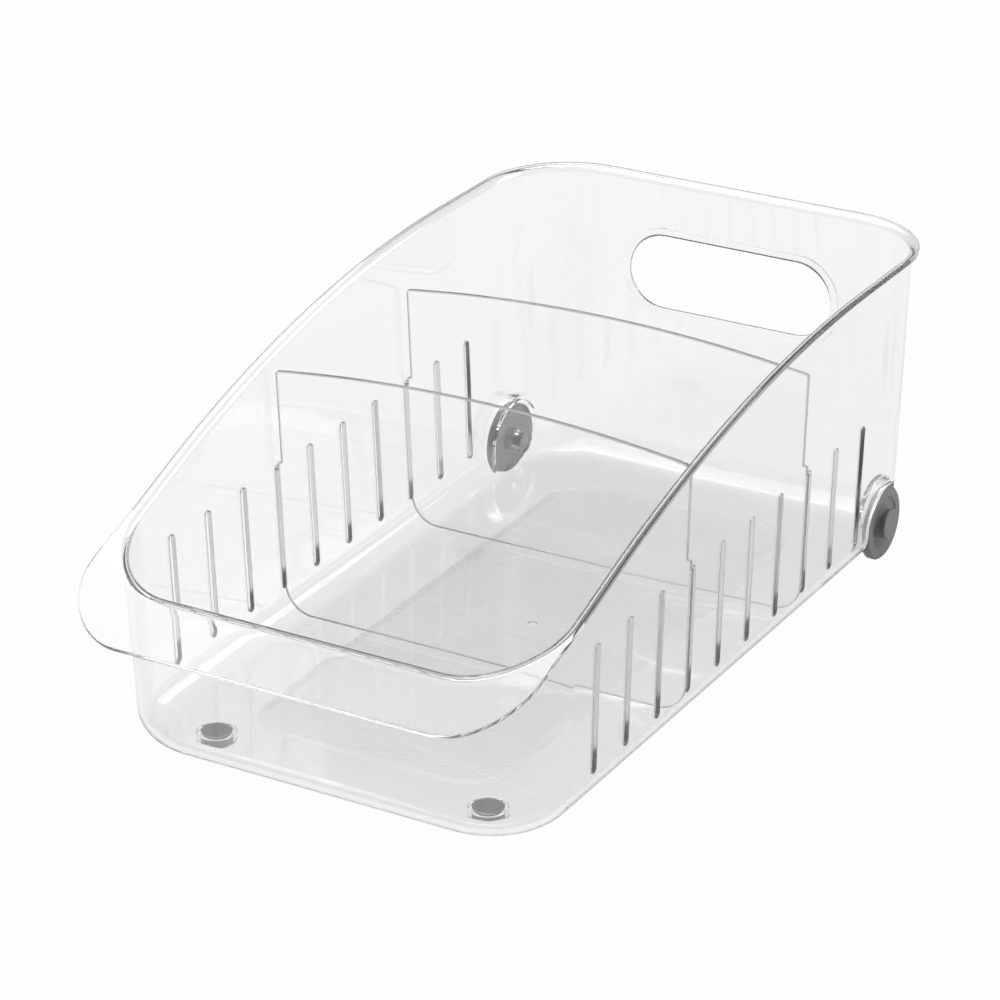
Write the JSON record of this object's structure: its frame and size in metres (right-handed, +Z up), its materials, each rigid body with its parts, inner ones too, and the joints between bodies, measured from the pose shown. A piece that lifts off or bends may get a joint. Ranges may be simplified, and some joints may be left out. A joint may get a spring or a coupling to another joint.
{
  "type": "roller storage tray",
  "caption": "Clear moulded storage tray with a swept rim and front lip, slotted side walls that hold upright dividers, rear wheels, front feet and a hand hole at the back.",
  "frame": {"origin": "middle of the tray's box, on the ground plane that the wheels and feet stand on", "axes": "+Z up; +Y along the tray from its low front lip to its tall rear; +X to the right seen from the front"},
  "size_m": [0.2042, 0.3766, 0.1395],
  "materials": {
    "clear_plastic": "clear, polished",
    "grey_plastic": "satin mid grey",
    "pin_plastic": "satin mid grey",
    "foot_rubber": "soft pale grey"
  },
  "bodies": {
    "tray": {"bin": "clear_plastic", "axle_pin_left": "pin_plastic", "axle_pin_right": "pin_plastic", "foot_left": "foot_rubber", "foot_right": "foot_rubber"},
    "left_wheel": {"wheel_left": "grey_plastic"},
    "right_wheel": {"wheel_right": "grey_plastic"},
    "front_divider": {"divider_front": "clear_plastic"},
    "rear_divider": {"divider_rear": "clear_plastic"}
  },
  "joints": [
    {"name": "left_wheel_spin", "type": "hinge", "parent": "tray", "child": "left_wheel", "pos_m": [-0.09175, 0.14897, 0.0163], "axis": [1, 0, 0], "continuous": true},
    {"name": "right_wheel_spin", "type": "hinge", "parent": "tray", "child": "right_wheel", "pos_m": [0.09175, 0.14897, 0.0163], "axis": [1, 0, 0], "continuous": true},
    {"name": "front_divider_lift", "type": "slide", "parent": "tray", "child": "front_divider", "axis": [0, 0, 1], "range_m": [0, 0.0008]},
    {"name": "rear_divider_lift", "type": "slide", "parent": "tray", "child": "rear_divider", "axis": [0, 0, 1], "range_m": [0, 0.0008]}
  ]
}
